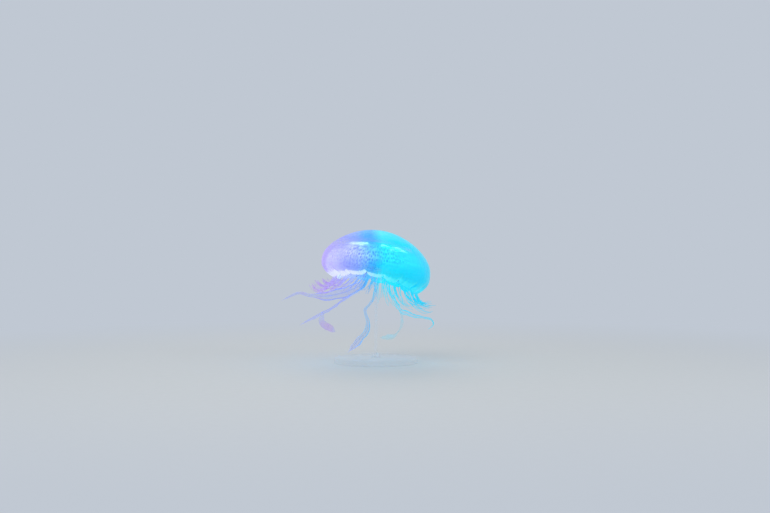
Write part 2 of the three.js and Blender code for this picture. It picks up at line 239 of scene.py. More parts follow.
class Nodes:
    """Adds nodes to a tree: first a node's settings, then the values or links of its sockets."""

    def __init__(self, tree):
        self.tree = tree

    def add(self, kind, settings=None, inputs=None):
        node = self.tree.nodes.new(kind)
        for key, value in (settings or {}).items():
            if key == "stops":
                self.set_stops(node.color_ramp, value)
            else:
                setattr(node, key, value)
        for key, value in (inputs or {}).items():
            if isinstance(value, Term):
                self.tree.links.new(value.socket, node.inputs[key])
            else:
                node.inputs[key].default_value = value
        return node

    def term(self, kind, settings=None, inputs=None, output=0):
        return Term(self, self.add(kind, settings, inputs).outputs[output])

    def math(self, operation, *values):
        return self.term("ShaderNodeMath", {"operation": operation}, dict(enumerate(values)))

    def vector(self, x, y, z):
        return self.term("ShaderNodeCombineXYZ", {}, {0: x, 1: y, 2: z})

    def split(self, vector):
        node = self.add("ShaderNodeSeparateXYZ", {}, {0: vector})
        return [Term(self, node.outputs[i]) for i in range(3)]

    @staticmethod
    def set_stops(ramp, stops):
        ramp.elements.remove(ramp.elements[1])
        ramp.elements[0].position, ramp.elements[0].color = stops[0][0], (*stops[0][1], 1)
        for place, tint in stops[1:]:
            ramp.elements.new(place).color = (*tint, 1)

    def mix(self, part, first, second):
        """One colour over another."""
        first, second = (c if isinstance(c, Term) else (*c, 1) for c in (first, second))
        settings = {"data_type": "RGBA", "clamp_factor": True}
        return self.term("ShaderNodeMix", settings, {0: part, 6: first, 7: second}, 2)

    def noise(self, place, scale, detail=2.0, roughness=0.5):
        inputs = {"Vector": place, "Scale": scale, "Detail": detail, "Roughness": roughness}
        return self.term("ShaderNodeTexNoise", {}, inputs, "Fac")

    def attribute(self, name):
        return self.term("ShaderNodeAttribute", {"attribute_name": name}, {}, "Fac")

    def body(self):
        """Coordinates on the whole animal."""
        return self.term("ShaderNodeTexCoord", {}, {}, "Object")

    def facing(self):
        return self.term("ShaderNodeLayerWeight", {}, {"Blend": 0.4}, "Facing")

    def relief(self, height, distance):
        return self.term("ShaderNodeBump", {}, {"Height": height, "Distance": distance, "Strength": 0.7})


# Sums that are worked out on numbers, or on sockets where a tree is being built.


def worked(operation, plain, *values):
    for value in values:
        if isinstance(value, Term):
            return value.nodes.math(operation, *values)
    return plain(*values)


def over(value, floor=0.0):
    return worked("MAXIMUM", max, value, floor)


def under(value, ceiling=1.0):
    return worked("MINIMUM", min, value, ceiling)


sine = partial(worked, "SINE", sin)
cosine = partial(worked, "COSINE", cos)
size = partial(worked, "ABSOLUTE", abs)
power = partial(worked, "POWER", pow)


# Curves and tables.


def ease(low, high, value):
    """0 at low, 1 at high and smooth between. High may be the smaller."""
    part = min(1.0, max(0.0, (value - low) / (high - low)))
    return part * part * (3 - 2 * part)


def mixed(first, second, part):
    return first + (second - first) * part


def keyed(place, rows, column=1):
    """A column's value at a place, from rows that start with their own place, eased between rows."""
    k = min(max(bisect_right([row[0] for row in rows], place) - 1, 0), len(rows) - 2)
    before, after = rows[k], rows[k + 1]
    return mixed(before[column], after[column], ease(before[0], after[0], place))


def evenly(values, part):
    """A value at a share of the way through values that stand at even shares."""
    reach = min(max(part, 0), 1) * (len(values) - 1)
    k = min(int(reach), len(values) - 2)
    return mixed(values[k], values[k + 1], ease(0, 1, reach - k))


def steps(low, high, count):
    return [mixed(low, high, i / count) for i in range(count + 1)]


def turns(count):
    """Angles once round, without the last that is the first again."""
    return steps(0, tau, count)[:-1]


class Course:
    """A smooth curve through given points, read by share of its length."""

    def __init__(self, points, fine=24):
        ends = [points[0], *points, points[-1]]
        self.points = [points[0]]
        for before, start, stop, after in zip(ends, ends[1:], ends[2:], ends[3:]):
            out, back = start + (stop - before) / 6, stop - (after - start) / 6
            self.points += interpolate_bezier(start, out, back, stop, fine + 1)[1:]
        self.run = [0, *accumulate((b - a).length for a, b in pairwise(self.points))]
        self.length = self.run[-1]

    def at(self, part):
        reach = min(max(part, 0), 1) * self.length
        k = min(bisect_right(self.run, reach) - 1, len(self.points) - 2)
        past = (reach - self.run[k]) / (self.run[k + 1] - self.run[k])
        return self.points[k].lerp(self.points[k + 1], past)

    def along(self, part):
        reach = 1.5 / len(self.points)
        return (self.at(min(part + reach, 1)) - self.at(max(part - reach, 0))).normalized()


# The bell's shape.


class BellShape:
    """The bell's two faces, and how the pulse bends them. Turn 0 is the top, 1 the widest ring and 2 the
    margin. Its sizes are numbers, or sockets where a tree is being built."""

    SHOULDER_FALL = 0.135
    TUCK_POWER = 2.5
    ROOF_POWER = 0.74
    LEAN, LEAN_BAND = 0.005, 0.050
    TIP = 0.0045
    WAVE_BAND = 0.075
    PINCH_BAND = 0.045
    SCALLOP_BAND = 0.030

    def __init__(self, sizes):
        self.sizes = sizes
        self.turned = Euler((-LEAN_BACK, LEAN_RIGHT, 0)).to_matrix()
        mouth = self.turned @ Vector((0, 0, MOUTH_LEVEL))
        self.foot = Vector((-mouth.x, -mouth.y, MARGIN_LEVEL))

    def world(self, x, y, z):
        return self.turned @ Vector((x, y, z)) + self.foot

    def outer(self, turn):
        s = self.sizes
        angle, fall = under(turn) * (pi / 2), over(turn - 1)
        shoulder = s.radius * sine(angle) * (1 - cosine(angle) * cosine(angle) * self.SHOULDER_FALL)
        tuck = (s.radius - s.margin_radius) * power(fall, self.TUCK_POWER)
        return shoulder - tuck, s.widest * (1 - fall) + (s.height - s.widest) * cosine(angle)

    def inner(self, turn):
        s = self.sizes
        angle, fall = under(turn) * (pi / 2), over(turn - 1)
        arch = s.roof_radius * power(over(sine(angle)), self.ROOF_POWER)
        tuck = (s.roof_radius - s.margin_radius + s.margin_wall) * power(fall, self.TUCK_POWER)
        return arch - tuck, s.roof_widest * (1 - fall) + (s.roof_height - s.roof_widest) * cosine(angle)

    def roof(self, radius):
        """Height of the hollow's roof at a radius."""
        s = self.sizes
        part = min(1, (radius / s.roof_radius) ** (2 / self.ROOF_POWER))
        return s.roof_widest + (s.roof_height - s.roof_widest) * (1 - part) ** 0.5

    def off_notch(self, angle):
        """0 at a notch and 1 half-way between two."""
        return size(sine((angle - GONADS_FROM) * (LAPPETS / 2)))

    def pulsed(self, angle, radius, level):
        """Where the pulse moves a point that is given by its angle, radius and height."""
        s = self.sizes
        low, near = over(level), self.off_notch(angle)
        stepped = angle - sine((angle - GONADS_FROM) * LAPPETS) * s.terraces / LAPPETS
        wave = s.saddle * sine(stepped) * sine(stepped) - cosine(stepped) * self.TIP
        lift = (wave + s.notch * power(1 - near, 2.5)) * power(over(1 - low / self.WAVE_BAND), 2)
        edge = 1 - size(sine((angle - GONADS_FROM) * LAPPETS))
        lift = lift + s.scallop * power(edge, 3) * power(over(1 - low / self.SCALLOP_BAND), 2)
        lean = power(over(1 - low / self.LEAN_BAND), 2) * self.LEAN
        drawn = power(over(1 - low / self.PINCH_BAND), 2) * s.pinch
        radius = radius + drawn * (power(near, 0.7) * 1.3 - 1)
        return radius * cosine(angle) + lean, radius * sine(angle), level + lift

    def place(self, angle, radius, level):
        return self.world(*self.pulsed(angle, radius, level))


# Pieces.


def link(thing):
    bpy.context.scene.collection.objects.link(thing)
    return thing


def shell(rings, start=None, stop=None, hollow=False):
    """Points and faces of rings joined one to the next. Each end is closed by a pole point or a flat cap,
    unless the last ring joins the first round a hollow."""
    count = len(rings[0])
    points = [p for ring in rings for p in ring]
    faces = []
    for i in range(len(rings) - (not hollow)):
        low, high = i * count, (i + 1) % len(rings) * count
        faces += [(low + j, low + (j + 1) % count, high + (j + 1) % count, high + j) for j in range(count)]
    for pole, first in () if hollow else ((start, 0), (stop, (len(rings) - 1) * count)):
        ring = [first + j for j in range(count)]
        if pole is None:
            faces.append(tuple(ring))
        else:
            points.append(pole)
            faces += [(a, b, len(points) - 1) for a, b in zip(ring, ring[1:] + ring[:1])]
    return points, faces


def circle(radius, level, sides):
    return [Vector((radius * cos(angle), radius * sin(angle), level)) for angle in turns(sides)]


def numbered(mesh, **values):
    """Keeps numbers on a mesh's points."""
    for key, numbers in values.items():
        mesh.attributes.new(key, "FLOAT", "POINT").data.foreach_set("value", numbers)


def turned_out(mesh):
    """Makes a closed mesh face outwards."""
    work = bmesh.new()
    work.from_mesh(mesh)
    bmesh.ops.recalc_face_normals(work, faces=work.faces)
    work.to_mesh(mesh)
    work.free()


def made(name, shape, material, **values):
    """A smooth closed piece, with numbers kept on its points for its material to read."""
    points, faces = shape
    mesh = bpy.data.meshes.new(name)
    mesh.from_pydata(points, [], faces)
    numbered(mesh, **values)
    turned_out(mesh)
    mesh.shade_smooth()
    mesh.materials.append(material)
    return link(bpy.data.objects.new(name, mesh))


def grown(name, tree, inputs, guide=None):
    """The plain piece that a geometry tree grows from a guide."""
    piece = link(bpy.data.objects.new(name, guide or bpy.data.meshes.new(name)))
    growth = piece.modifiers.new("growth", "NODES")
    growth.node_group = tree
    for socket in tree.interface.items_tree:
        if socket.name in inputs:
            growth[socket.identifier] = inputs[socket.name]
    graph = bpy.context.evaluated_depsgraph_get()
    mesh = bpy.data.meshes.new_from_object(piece.evaluated_get(graph), depsgraph=graph)
    piece.modifiers.remove(growth)
    piece.data = mesh
    mesh.name = name
    if not mesh.polygons:
        raise RuntimeError(f"{name} grew no faces")
    return piece


def finished(piece, slot, *nodes):
    """Puts a piece on the model's one body, in the place of its CAD nodes."""
    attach(piece, "root")
    if nodes:
        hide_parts(*nodes)


def geometry_tree(name, sizes, material):
    """A geometry tree with named inputs, and the sockets of those inputs."""
    tree = bpy.data.node_groups.new(name, "GeometryNodeTree")
    face = tree.interface
    face.new_socket("Geometry", in_out="OUTPUT", socket_type="NodeSocketGeometry")
    face.new_socket("Geometry", in_out="INPUT", socket_type="NodeSocketGeometry")
    for title, value in sizes.items():
        kind = "NodeSocketInt" if isinstance(value, int) else "NodeSocketFloat"
        face.new_socket(title, in_out="INPUT", socket_type=kind).default_value = value
    face.new_socket("Material", in_out="INPUT", socket_type="NodeSocketMaterial").default_value = material
    nodes = Nodes(tree)
    given = nodes.add("NodeGroupInput")
    return nodes, {socket.name: Term(nodes, socket) for socket in given.outputs if socket.name}


def end_tree(nodes, geometry, material):
    """Ends a tree as the export needs it: real, smooth geometry with its material."""
    geometry = nodes.term("GeometryNodeRealizeInstances", {}, {"Geometry": geometry})
    geometry = nodes.term("GeometryNodeSetShadeSmooth", {}, {"Geometry": geometry})
    geometry = nodes.term("GeometryNodeSetMaterial", {}, {"Geometry": geometry, "Material": material})
    nodes.add("NodeGroupOutput", {}, {"Geometry": geometry})
    return nodes.tree


def kept(nodes, geometry, name, value):
    """Geometry that keeps a number on its points."""
    inputs = {"Geometry": geometry, "Name": name, "Value": value}
    settings = {"data_type": "FLOAT", "domain": "POINT"}
    return nodes.term("GeometryNodeStoreNamedAttribute", settings, inputs)


def read(nodes, name):
    """A number that the points of the geometry bring."""
    return nodes.term("GeometryNodeInputNamedAttribute", {"data_type": "FLOAT"}, {"Name": name})


def titled(name):
    """The title of the socket that one of this script's names stands for."""
    return "IOR" if name == "ior" else name.replace("_", " ").title()


def strand_tree(name, material):
    """Turns chains of edges into closed round strands. Each point of a chain brings its girth and its share
    of the way down, by which the strand drifts off its course."""
    sizes = {"Width": 1.0, "Sides": 5, "Wander": 0.0, "Wander Length": 0.03, "Seed": 0.0}
    n, given = geometry_tree(name, sizes, material)
    girth, down = read(n, "girth"), read(n, "down")
    place = n.term("GeometryNodeInputPosition")
    swirl = {"Vector": place, "W": given["Seed"], "Scale": 1 / given["Wander Length"], "Detail": 1.0}
    swirl = n.term("ShaderNodeTexNoise", {"noise_dimensions": "4D"}, swirl, "Color")
    centred = n.term("ShaderNodeVectorMath", {"operation": "SUBTRACT"}, {0: swirl, 1: (0.5, 0.5, 0.5)})
    reach = given["Wander"] * 3 * down**1.4
    drift = n.term("ShaderNodeVectorMath", {"operation": "SCALE"}, {0: centred, "Scale": reach})
    chain = n.term("GeometryNodeMeshToCurve", {}, {"Mesh": given["Geometry"]})
    chain = n.term("GeometryNodeSetPosition", {}, {"Geometry": chain, "Offset": drift})
    loop = n.term("GeometryNodeCurvePrimitiveCircle", {}, {"Resolution": given["Sides"], "Radius": 0.5})
    loop = kept(n, loop, "round", n.term("GeometryNodeInputIndex") / given["Sides"])
    sweep = {"Curve": chain, "Profile Curve": loop, "Scale": girth * given["Width"], "Fill Caps": True}
    return end_tree(n, n.term("GeometryNodeCurveToMesh", {}, sweep), given["Material"])


def strands(name, chains, material, **sizes):
    """A piece of strands. A chain is a list of points, each with its girth and its share of the way down."""
    points = [point for chain in chains for point in chain]
    order = [k for k, chain in enumerate(chains) for _ in chain]
    edges = [(i, i + 1) for i in range(len(points) - 1) if order[i] == order[i + 1]]
    places, girths, downs = zip(*points)
    guide = bpy.data.meshes.new(name)
    guide.from_pydata(places, edges, [])
    numbered(guide, girth=girths, down=downs, strand=order)
    inputs = {titled(key): value for key, value in sizes.items()}
    return grown(name, strand_tree(name, material), {**inputs, "Material": material}, guide)


# Materials.


def new_material(name):
    material = bpy.data.materials.new(name)
    material.use_nodes = True
    material.node_tree.nodes.clear()
    return material, Nodes(material.node_tree)


def surfaced(nodes, **sockets):
    """The surface shader, joined to the output."""
    inputs = {titled(key): value for key, value in sockets.items()}
    surface = nodes.term("ShaderNodeBsdfPrincipled", {}, inputs)
    nodes.add("ShaderNodeOutputMaterial", {}, {"Surface": surface})


def wet(nodes, tint, alpha, glow, relief):
    """A wet jelly with a painted glow in its own colour."""
    surfaced(
        nodes,
        base_color=tint,
        alpha=alpha,
        emission_color=tint,
        emission_strength=glow,
        roughness=0.45,
        ior=1.34,
        coat_weight=0.06,
        coat_roughness=0.2,
        sheen_weight=0.35,
        sheen_roughness=0.3,
        normal=relief,
    )


def tint_in_painted_light(nodes, colours, milk):
    """A colour by how far across the animal a point is, from lavender at -X to aqua at +X, with more or less milk in
    it.
    The clear colour is painted coloured light, and the milk is painted white at -X and cyan at +X in the same way."""
    reach = 0.14
    stops = [
        (-0.125, colours.rose),
        (-0.070, colours.lavender),
        (-0.034, colours.periwinkle),
        (-0.012, colours.blue),
        (0.000, colours.blue),
        (0.022, colours.cyan),
        (0.110, colours.aqua),
    ]
    place = nodes.body()
    x, _, z = nodes.split(place)
    drift = (nodes.noise(place, 22, 3) - 0.5) * 0.022
    # The painted light leans a little towards aqua away from 0.24 m over the floor.
    across = x + drift + under(size(z - 0.24), 0.05) * 0.2
    stops = [((at + reach) / (2 * reach), tint) for at, tint in stops]
    part = (across + reach) / (2 * reach)
    clear = nodes.term("ShaderNodeValToRGB", {"stops": stops}, {"Fac": part}, "Color")
    # The milk turns from white at -X to foam at +X: painted coloured light on the milky tissue.
    thick = nodes.mix(across.between(-0.060, 0.026), colours.milk, colours.foam)
    return nodes.mix(milk, clear, thick)


def in_bell(nodes, bell):
    """Coordinates in the bell's own frame."""
    inputs = {"Vector": nodes.body(), "Location": bell.foot, "Rotation": (-LEAN_BACK, LEAN_RIGHT, 0)}
    return nodes.term("ShaderNodeMapping", {"vector_type": "TEXTURE"}, inputs)


# Dashes in the lining: columns round the bell, and rows in a metre of its height.
DASH_COLUMNS = 162
DASH_ROWS = 108


def bell_gel(colours, bell):
    """The outer jelly, clear but for its freckles, and the lining of the hollow, milky with columns of
    darker dashes. Both thicken to a streaked white brim at the margin."""
    material, n = new_material("bell_gel")
    place = in_bell(n, bell)
    x, y, z = n.split(place)
    across, _, _ = n.split(n.body())
    rim, lined = n.attribute("rim"), n.attribute("lining")
    away = (x * x + y * y).math("SQRT") + 0.001
    streaks = n.noise(n.vector(x / away * 14, y / away * 14, z * 22), 2.4, 4, 0.6)
    freckles = n.noise(place, 560, 2).between(0.60, 0.72) * (1 - lined)
    cloud = n.noise(place, 24, 4).between(0.35, 0.72)
    edge = n.facing() ** 2.0
    crown = z.between(0.088, 0.118)

    # The dashes fade towards the crown, the margin and both sides.
    column, row = y.math("ARCTAN2", x) * (DASH_COLUMNS / tau), z * DASH_ROWS
    cells = {"Vector": n.vector(column, row, 0.0), "Scale": 1.0, "Randomness": 0.7}
    spots = n.term("ShaderNodeTexVoronoi", {"voronoi_dimensions": "2D"}, cells, "Distance")
    dashes = spots.between(0.44, 0.20) * z.between(0.020, 0.046) * z.between(0.096, 0.080)
    dashes = dashes * lined * streaks.between(0.30, 0.52)
    dashes = dashes * (x.between(-0.090, -0.055) * x.between(0.080, 0.035) * 0.6 + 0.4)

    # The brim and the mist over it are fainter at the back.
    brim = rim.between(0.68, 0.985) * (1.25 - x.between(0.02, 0.08) * 0.6) + streaks * 1.9 - 1.2
    behind = 1 - y.between(0.0, 0.06) * 0.6
    brim = under(over(brim)) * behind
    mist = rim.between(0.20, 0.95) * streaks.between(0.25, 0.60) * behind

    # The haze lies in a band round the lining, and down its -X side.
    band = z.between(0.026, 0.060) * z.between(0.098, 0.078)
    side = x.between(-0.055, -0.095) * z.between(0.075, 0.045)
    haze = over(band * streaks.between(0.15, 0.55), side)
    haze = haze * (1 - x.between(-0.060, -0.085) * z.between(0.058, 0.076) * 0.6)
    milk = lined * (cloud * 0.12 + haze * 0.88) + freckles * 0.15 + brim * 0.8 + mist * 0.35

    # The +X side is more opaque so that the painted aqua light shows strong there, and the jelly is clearer in a
    # window over the gonads.
    clear = band * over(1 - edge * 2) * (1 - lined)
    gel = cloud * 0.08 + edge * 0.55 + freckles * 0.08 - clear * 0.20 + crown * 0.26 + 0.38
    lining = haze * 0.48 + dashes * 0.20 + edge * 0.2 + 0.24
    right = across.between(-0.01, 0.06) * (1 - clear * 0.6 - crown * 0.3) * 0.34
    window = z.between(0.072, 0.083) * z.between(0.104, 0.090)
    window = window * (across.between(0.0, 0.04) * 0.2 + 0.4) * x.between(0.085, 0.062)
    alpha = (gel * (1 - lined) + lining * lined + right) * (1 - window) + brim * 0.6 + mist * 0.15

    # The brim is fainter and painted milk-white only on the -X side, part of the painted coloured light; the dashes
    # are painted ink at -X and deep at +X the same way.
    tint = n.mix(brim * x.between(0.06, -0.04) * 0.5, tint_in_painted_light(n, colours, milk), colours.milk)
    tint = n.mix(dashes * 0.85, tint, n.mix(across.between(-0.02, 0.02), colours.ink, colours.deep))
    height = n.noise(place, 190, 3) * 0.4 + freckles * 0.3 + dashes * 0.8
    wet(n, tint, under(alpha), 0.38, n.relief(height, 0.0006))
    return material


def organ(name, colours, milk, alpha, glow, grain=160):
    """A milky organ in the palette's colours, with their painted coloured light."""
    material, n = new_material(name)
    cells = n.noise(n.body(), grain, 4) - 0.5
    tint = tint_in_painted_light(n, colours, cells * 0.7 + milk)
    wet(n, tint, under(over(cells * 0.8 + alpha)), glow, n.relief(cells, 0.0008))
    return material


def gonad_tissue(colours, bell):
    """A gonad: whitest, most opaque and brightest in a band along its top under the roof, and clearer below. Its
    strong glow is a painted glow.
    """
    material, n = new_material("gonad_folds")
    x, y, z = n.split(in_bell(n, bell))
    cells = n.noise(n.body(), 260, 4) - 0.5
    top_band = z.between(0.0845, 0.0885)
    tint = tint_in_painted_light(n, colours, cells * 0.4 + top_band * 0.25 + 0.75)
    tint = n.mix(top_band * (x.between(0.0, 0.05) * 0.3 + 0.4), tint, colours.milk)
    alpha = under(cells * 0.4 + top_band * 0.85 + 0.18) * (1 - y.between(-0.01, 0.03) * 0.45)
    wet(n, tint, alpha, 1.4, n.relief(cells, 0.0006))
    return material


def ribbon_gel(colours):
    """An arm: clear between its midrib and its bright lips, and stained in its folds."""
    material, n = new_material("arm_ribbon")
    place = n.body()
    x, _, z = n.split(place)
    across = size(n.attribute("across"))
    rib, lip = across.between(0.20, 0.0), across.between(0.66, 0.98)
    cells = n.noise(place, 130, 4) - 0.5
    patch = x.between(-0.115, -0.135) * x.between(-0.180, -0.155) * z.between(0.132, 0.142)
    folds = over(patch, z.between(0.105, 0.085) * x.between(-0.06, -0.09) * x.between(-0.140, -0.126))
    stain = n.noise(place, 34, 2).between(0.36, 0.60) * folds * (1 - lip)
    tint = tint_in_painted_light(n, colours, lip * 0.50 + rib * 0.20 + cells * 0.3)
    # More periwinkle on the -X side: painted lavender light.
    tint = n.mix(x.between(-0.03, -0.10) * (1 - lip * 0.4) * 0.7, tint, colours.periwinkle)
    tint = n.mix(stain * 0.8, tint, colours.veil)
    alpha = under(over(lip * 0.78 + rib * 0.25 + stain * 0.12 + cells * 0.25 + 0.12))
    wet(n, tint, alpha, 0.30, n.relief(cells, 0.0006))
    return material


def strand_gel(colours):
    """A tentacle, milky and beaded at its root and more coloured towards its tip."""
    material, n = new_material("tentacle")
    down = n.attribute("down")
    x, _, _ = n.split(n.body())
    beads = n.noise(n.body(), 420, 2) - 0.5
    tint = tint_in_painted_light(n, colours, 0.50 - down * 0.36 + beads * 0.5)
    # Pinker on the -X side: painted lavender light.
    tint = n.mix(x.between(-0.050, -0.095) * (down * 0.25 + 0.18), tint, colours.veil)
    wet(n, tint, 0.96 - down * 0.3, 0.30, n.relief(beads, 0.0003))
    return material


def sense_organ_tissue(colours):
    """Milky, with a brown spot of pigment over its crystals."""
    material, n = new_material("sense_organ")
    grain = n.noise(n.body(), 900, 2).between(0.35, 0.65)
    tint = n.mix((grain + 0.3) * n.attribute("down") * 0.5, tint_in_painted_light(n, colours, 0.35), (0.22, 0.12, 0.12))
    surfaced(n, base_color=tint, roughness=0.35, normal=n.relief(grain, 0.0002))
    return material


def acrylic(name, alpha):
    """Clear acrylic with polished faces and faint wipe marks."""
    material, n = new_material(name)
    marks = n.noise(n.body(), 34, 5, 0.7)
    tint = n.mix(marks, (0.80, 0.87, 0.92), (0.94, 0.97, 1.0))
    see = under(n.facing() ** 3.0 * 0.35 + alpha)
    surfaced(n, base_color=tint, alpha=see, roughness=marks * 0.1 + 0.05, ior=1.49, coat_weight=0.5)
    return material


# Bell.


def names_in(group):
    return [name for name in group.bl_rna.properties.keys() if name not in ("rna_type", "name")]


# The shares of the way over the bell's skin at which its rolled rim starts and ends.
RIM_START, RIM_END = 0.50, 0.56


def bell_tree(names, inputs, material):
    """The bell's skin from a grid: round it by one way, and down its outside, over its rim and up its lining
    by the other. Then the pulse bends it."""
    n, given = geometry_tree("bell_skin", {**inputs, "Sides": 384, "Rows": 110}, material)
    bell = BellShape(SimpleNamespace(**{name: given[titled(name)] for name in names}))
    counts = {"Vertices X": given["Sides"] + 1, "Vertices Y": given["Rows"] + 1}
    grid = n.term("GeometryNodeMeshGrid", {}, {"Size X": 1.0, "Size Y": 1.0, **counts})
    x, y, _ = n.split(n.term("GeometryNodeInputPosition"))
    angle, row = (x + 0.5) * tau, y + 0.5
    outside, inside = row.within(0, RIM_START) * 2, row.within(RIM_END, 1) * 2
    rolled = row.within(RIM_START, RIM_END) * pi
    lined = row.math("GREATER_THAN", RIM_END + 0.0005)
    wall = bell.sizes.margin_wall / 2
    radius, level = bell.outer(outside)
    lining_radius, lining_level = bell.inner(2 - inside)
    radius = (radius - wall * (1 - cosine(rolled))) * (1 - lined) + lining_radius * lined
    level = (level - wall * sine(rolled)) * (1 - lined) + lining_level * lined
    bulge = n.noise(n.vector(cosine(angle) * radius, sine(angle) * radius, level), 34, 2) - 0.5
    radius = radius + bulge * bell.sizes.ripple * 4 * row.within(0, 0.02) * (1 - row.within(0.98, 1))
    place = n.vector(*bell.pulsed(angle, radius, level))
    grid = kept(n, grid, "rim", level.between(0.030, 0.0))
    grid = kept(n, grid, "lining", row.within(0.52, RIM_END))
    skin = n.term("GeometryNodeSetPosition", {}, {"Geometry": grid, "Position": place})
    skin = n.term("GeometryNodeMergeByDistance", {}, {"Geometry": skin, "Distance": 1e-5})
    stood = {"Geometry": skin, "Translation": bell.foot, "Rotation": Euler((-LEAN_BACK, LEAN_RIGHT, 0))}
    return end_tree(n, n.term("GeometryNodeTransform", {}, stood), given["Material"])


class JELLY_OT_bell(bpy.types.Operator):
    """Makes the bell's skin as one closed piece: outer face, rolled rim and the lining of the hollow"""

    bl_idname = "jelly.bell"
    bl_label = "Bell"

    def execute(self, context):
        jelly = context.scene.jelly
        material = bell_gel(jelly.colours, BellShape(jelly.bell))
        names = names_in(jelly.bell)
        inputs = {titled(name): getattr(jelly.bell, name) for name in names}
        tree = bell_tree(names, inputs, material)
        piece = grown("bell_skin", tree, {**inputs, "Material": material})
        turned_out(piece.data)
        finished(piece, "jelly", "bell_dome", *(f"bell_lappet_{k + 1}" for k in range(LAPPETS)))
        return {"FINISHED"}


# Canals.


class JELLY_OT_canals(bpy.types.Operator):
    """Makes the canals in the bell: straight ones, branched ones and the one round the margin"""

    bl_idname = "jelly.canals"
    bl_label = "Canals"

    # The depth in the jelly, the turn that a canal ends at, that of the ring round the margin, the points
    # that a branched canal has over one turn, how often it forks, and the seed of its forks.
    SINK = 0.0011
    END = 1.97
    RING = 1.965
    FINENESS = 26
    FORKS = 3
    SEED = 5

    def buried(self, bell, angle, turn):
        """A point just inside the jelly over the lining."""
        radius, level = bell.inner(turn)
        slope = min(turn, 1) * pi / 2
        return bell.place(angle, radius + self.SINK * sin(slope), level + self.SINK * cos(slope))

    def branch(self, bell, rng, start, turn, aim, girth, depth):
        """A canal from an angle and turn to an angle at the margin, and the branches that leave it."""

        def bearing(part):
            sway = 0.012 * sin(part * 9 + start * 7) * sin(pi * part)
            return mixed(start, aim, ease(0, 0.75, part)) + sway

        count = max(6, round((self.END - turn) * self.FINENESS))
        chain = []
        for part in steps(0, 1, count):
            spot = self.buried(bell, bearing(part), mixed(turn, self.END, part))
            chain.append((spot, girth * (1 - 0.45 * part), part))
        chains = [chain]
        if depth:
            fork = rng.uniform(0.30, 0.45)
            for side in (-1, 1):
                away = aim + side * 0.085 / (self.FORKS + 1 - depth) * rng.uniform(0.85, 1.15)
                level = mixed(turn, self.END, fork)
                chains += self.branch(bell, rng, bearing(fork), level, away, girth * 0.72, depth - 1)
        return chains

    def execute(self, context):
        jelly = context.scene.jelly
        bell = BellShape(jelly.bell)
        girth = jelly.organs.canal_width
        rng = random.Random(self.SEED)
        chains = []
        for k in range(4):
            for angle, reach in ((GONADS_FROM + k * QUARTER, 0.62), (ARMS_FROM + k * QUARTER, 0.52)):
                chains += self.branch(bell, rng, angle, reach, angle, girth, self.FORKS)
        for k in range(LAPPETS):
            angle = GONADS_FROM + (k + 0.5) * LAPPET_ANGLE
            straight = [self.buried(bell, angle, turn) for turn in steps(0.60, self.END, 36)]
            chains.append([(spot, girth * 0.75, 0) for spot in straight])
        ring = [self.buried(bell, angle, self.RING) for angle in steps(0, tau, 200)]
        chains.append([(spot, girth * 1.1, 0) for spot in ring])
        material = organ("canal_milk", jelly.colours, 0.45, 0.50, 0.38)
        finished(strands("canals", chains, material, sides=6), "gonad")
        return {"FINISHED"}


# Gonads, stomach and mouth.


class JELLY_OT_gonads(bpy.types.Operator):
    """Makes the four folded horseshoes that shine through the top of the bell"""

    bl_idname = "jelly.gonads"
    bl_label = "Gonads"

    # Half of the horseshoe's turn, its gap to the roof, and the depth of its folds.
    HALF_TURN = radians(118)
    GAP = 0.0007
    FOLD = 0.0021
    RINGS, SIDES = 220, 16

    def folded(self, organs, bell, k):
        outward = GONADS_FROM + k * QUARTER
        centre = organs.gonad_distance * Vector((cos(outward), sin(outward), 0))
        rings = []
        for part in steps(0, 1, self.RINGS):
            turn = outward + self.HALF_TURN * (2 * part - 1)
            across = Vector((cos(turn), sin(turn), 0))
            middle = centre + organs.horseshoe * across
            roof = bell.roof(hypot(middle.x, middle.y) + organs.gonad_width / 4)
            middle.z = roof - organs.gonad_depth / 2 - self.GAP
            full = 0.50 + 0.50 * sin(pi * part) ** 0.5
            phase = tau * organs.folds * (part + 0.012 * sin(tau * 3 * part + k))
            fold = self.FOLD * sin(phase) * min(1, 9 * sin(pi * part))
            ring = []
            for round_it in turns(self.SIDES):
                wide, deep = cos(round_it), sin(round_it)
                out = wide * organs.gonad_width * 0.40 * full * (1 + 0.10 * sin(2 * phase + 1))
                up = abs(deep) ** 0.7 * (1 if deep > 0 else -1) * organs.gonad_depth * 0.47 * full
                up += 0.0009 * sin(phase * 0.5 + k) * (deep < 0)
                spot = middle + across * (out + fold * (0.45 - 0.75 * deep))
                ring.append(bell.world(spot.x, spot.y, spot.z + up))
            rings.append(ring)
        return shell(rings)

    def execute(self, context):
        jelly = context.scene.jelly
        bell = BellShape(jelly.bell)
        material = gonad_tissue(jelly.colours, bell)
        for k in range(4):
            piece = made(f"gonad_folds_{k + 1}", self.folded(jelly.organs, bell, k), material)
            finished(piece, "gonad", f"gonad_{k + 1}")
        return {"FINISHED"}


